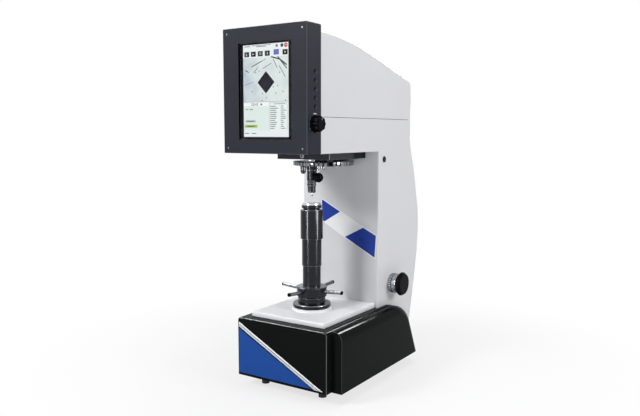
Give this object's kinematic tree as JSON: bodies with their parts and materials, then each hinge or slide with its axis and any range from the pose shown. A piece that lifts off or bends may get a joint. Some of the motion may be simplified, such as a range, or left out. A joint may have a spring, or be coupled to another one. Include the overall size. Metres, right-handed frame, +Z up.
{
  "type": "bench hardness tester",
  "caption": "Bench hardness tester with an elevating screw and anvil under an indexing turret, a C-frame column on a black base and a portrait touch display.",
  "frame": {"origin": "centre of the footprint of the bounding box, on the floor under the feet", "axes": "+Z up, -Y towards the operator, +X to the operator's right, where the fairing and the load dial are"},
  "size_m": [0.3116, 0.5928, 0.921],
  "materials": {
    "black_gloss": "gloss black paint",
    "grey_paint": "light grey gloss paint",
    "white_paint": "off-white gloss paint",
    "steel": "ground steel",
    "chrome": "polished chrome",
    "black_steel": "black oxide",
    "iron": "machined cast iron",
    "bronze": "machined bronze",
    "charcoal": "dark grey powder coat",
    "black_plastic": "black moulding",
    "matte_black": "matt black moulding",
    "rubber": "black rubber",
    "glass": "clear cover glass",
    "display": "lit display",
    "board": "green circuit board"
  },
  "bodies": {
    "frame": {"base_housing": "black_gloss", "side_fairing": "black_gloss", "base_plate": "iron", "levelling_feet": "rubber", "platform_plate": "white_paint", "screw_bearing": "black_steel", "screw_guide": "iron", "column_body": "grey_paint", "upper_cover": "grey_paint", "column_plug": "matte_black", "turret_plate": "black_steel", "plate_screw": "chrome", "turret_pivot": "black_steel", "lever_bracket": "iron", "lever_pin": "steel", "lift_actuator": "black_plastic", "selector_bushing": "chrome", "head_shell": "charcoal", "head_bezel": "charcoal", "display_glass": "glass", "lcd_panel": "display", "bezel_screws": "black_steel", "control_board": "board", "optical_tube": "black_steel", "camera": "black_plastic", "mains_inlet": "matte_black", "power_supply": "steel"},
    "handwheel": {"handwheel_hub": "black_steel", "lift_nut": "bronze", "handwheel_spokes": "chrome", "dust_sleeve_lower": "black_steel"},
    "middle_sleeve": {"dust_sleeve_middle": "black_steel"},
    "screw": {"elevating_screw": "steel", "screw_collar": "black_steel", "dust_sleeve_upper": "black_steel", "test_anvil": "steel"},
    "turret": {"turret_disc": "chrome", "spindle_housing": "black_steel", "long_objective": "black_steel", "short_objective": "chrome", "turret_handle": "black_plastic"},
    "loading_spindle": {"spindle": "steel", "nose_cap": "black_steel", "indenter": "steel"},
    "index_plunger": {"index_plunger": "black_plastic"},
    "load_lever": {"load_lever": "iron"},
    "push_rod": {"push_rod": "steel"},
    "weights": {"weight_hanger": "steel", "weight_stack": "iron"},
    "load_selector": {"selector_dial": "chrome", "selector_knob": "black_plastic", "selector_shaft": "steel"},
    "brightness_knob": {"brightness_knob": "black_plastic"},
    "power_switch": {"power_switch": "black_plastic"},
    "button_1": {"side_button_1": "matte_black"},
    "button_2": {"side_button_2": "matte_black"},
    "button_3": {"side_button_3": "matte_black"},
    "button_4": {"side_button_4": "matte_black"},
    "button_5": {"side_button_5": "matte_black"}
  },
  "joints": [
    {"name": "handwheel_turn", "type": "hinge", "parent": "frame", "child": "handwheel", "pos_m": [-0.01525, -0.09375, 0.2465], "axis": [0, 0, -1], "range_deg": [-6600, 780]},
    {"name": "screw_lift", "type": "slide", "parent": "frame", "child": "screw", "axis": [0, 0, 1], "range_m": [-0.1101, 0.01305]},
    {"name": "middle_sleeve_lift", "type": "slide", "parent": "frame", "child": "middle_sleeve", "axis": [0, 0, 1], "range_m": [-0.0551, 0.0066]},
    {"name": "turret_index", "type": "hinge", "parent": "frame", "child": "turret", "pos_m": [-0.01525, -0.03655, 0.589], "axis": [0, 0, 1], "range_deg": [0, 144]},
    {"name": "plunger_pull", "type": "slide", "parent": "frame", "child": "index_plunger", "axis": [0.6997, -0.7145, 0], "range_m": [0, 0.004], "stiffness_N_per_m": 500},
    {"name": "weights_drop", "type": "slide", "parent": "frame", "child": "weights", "axis": [0, 0, -1], "range_m": [0, 0.0083]},
    {"name": "load_lever_swing", "type": "hinge", "parent": "frame", "child": "load_lever", "pos_m": [-0.01525, -0.12505, 0.6795], "axis": [-1, 0, 0], "range_deg": [0, 1.5]},
    {"name": "push_rod_slide", "type": "slide", "parent": "frame", "child": "push_rod", "axis": [0, 0, -1], "range_m": [0, 0.00083]},
    {"name": "spindle_slide", "type": "slide", "parent": "turret", "child": "loading_spindle", "axis": [0, 0, -1], "range_m": [0, 0.00083]},
    {"name": "load_select", "type": "hinge", "parent": "frame", "child": "load_selector", "pos_m": [0.12475, 0.12645, 0.245], "axis": [1, 0, 0], "range_deg": [0, 300]},
    {"name": "brightness_turn", "type": "hinge", "parent": "frame", "child": "brightness_knob", "pos_m": [0.11975, -0.26405, 0.6905], "axis": [1, 0, 0], "range_deg": [-150, 150]},
    {"name": "power_rock", "type": "hinge", "parent": "frame", "child": "power_switch", "pos_m": [-0.14775, -0.02205, 0.1205], "axis": [0, 1, 0], "range_deg": [0, 20]},
    {"name": "button_1_press", "type": "slide", "parent": "frame", "child": "button_1", "axis": [-1, 0, 0], "range_m": [0, 0.001], "stiffness_N_per_m": 400},
    {"name": "button_2_press", "type": "slide", "parent": "frame", "child": "button_2", "axis": [-1, 0, 0], "range_m": [0, 0.001], "stiffness_N_per_m": 400},
    {"name": "button_3_press", "type": "slide", "parent": "frame", "child": "button_3", "axis": [-1, 0, 0], "range_m": [0, 0.001], "stiffness_N_per_m": 400},
    {"name": "button_4_press", "type": "slide", "parent": "frame", "child": "button_4", "axis": [-1, 0, 0], "range_m": [0, 0.001], "stiffness_N_per_m": 400},
    {"name": "button_5_press", "type": "slide", "parent": "frame", "child": "button_5", "axis": [-1, 0, 0], "range_m": [0, 0.001], "stiffness_N_per_m": 400}
  ],
  "couplings": [
    {"joint": "screw_lift", "follows": "handwheel_turn", "m_per_rad": 0.00095493},
    {"joint": "middle_sleeve_lift", "follows": "handwheel_turn", "m_per_rad": 0.00047746},
    {"joint": "load_lever_swing", "follows": "weights_drop", "rad_per_m": 3.1447},
    {"joint": "push_rod_slide", "follows": "weights_drop", "ratio": 0.098428},
    {"joint": "spindle_slide", "follows": "weights_drop", "ratio": 0.098428}
  ]
}
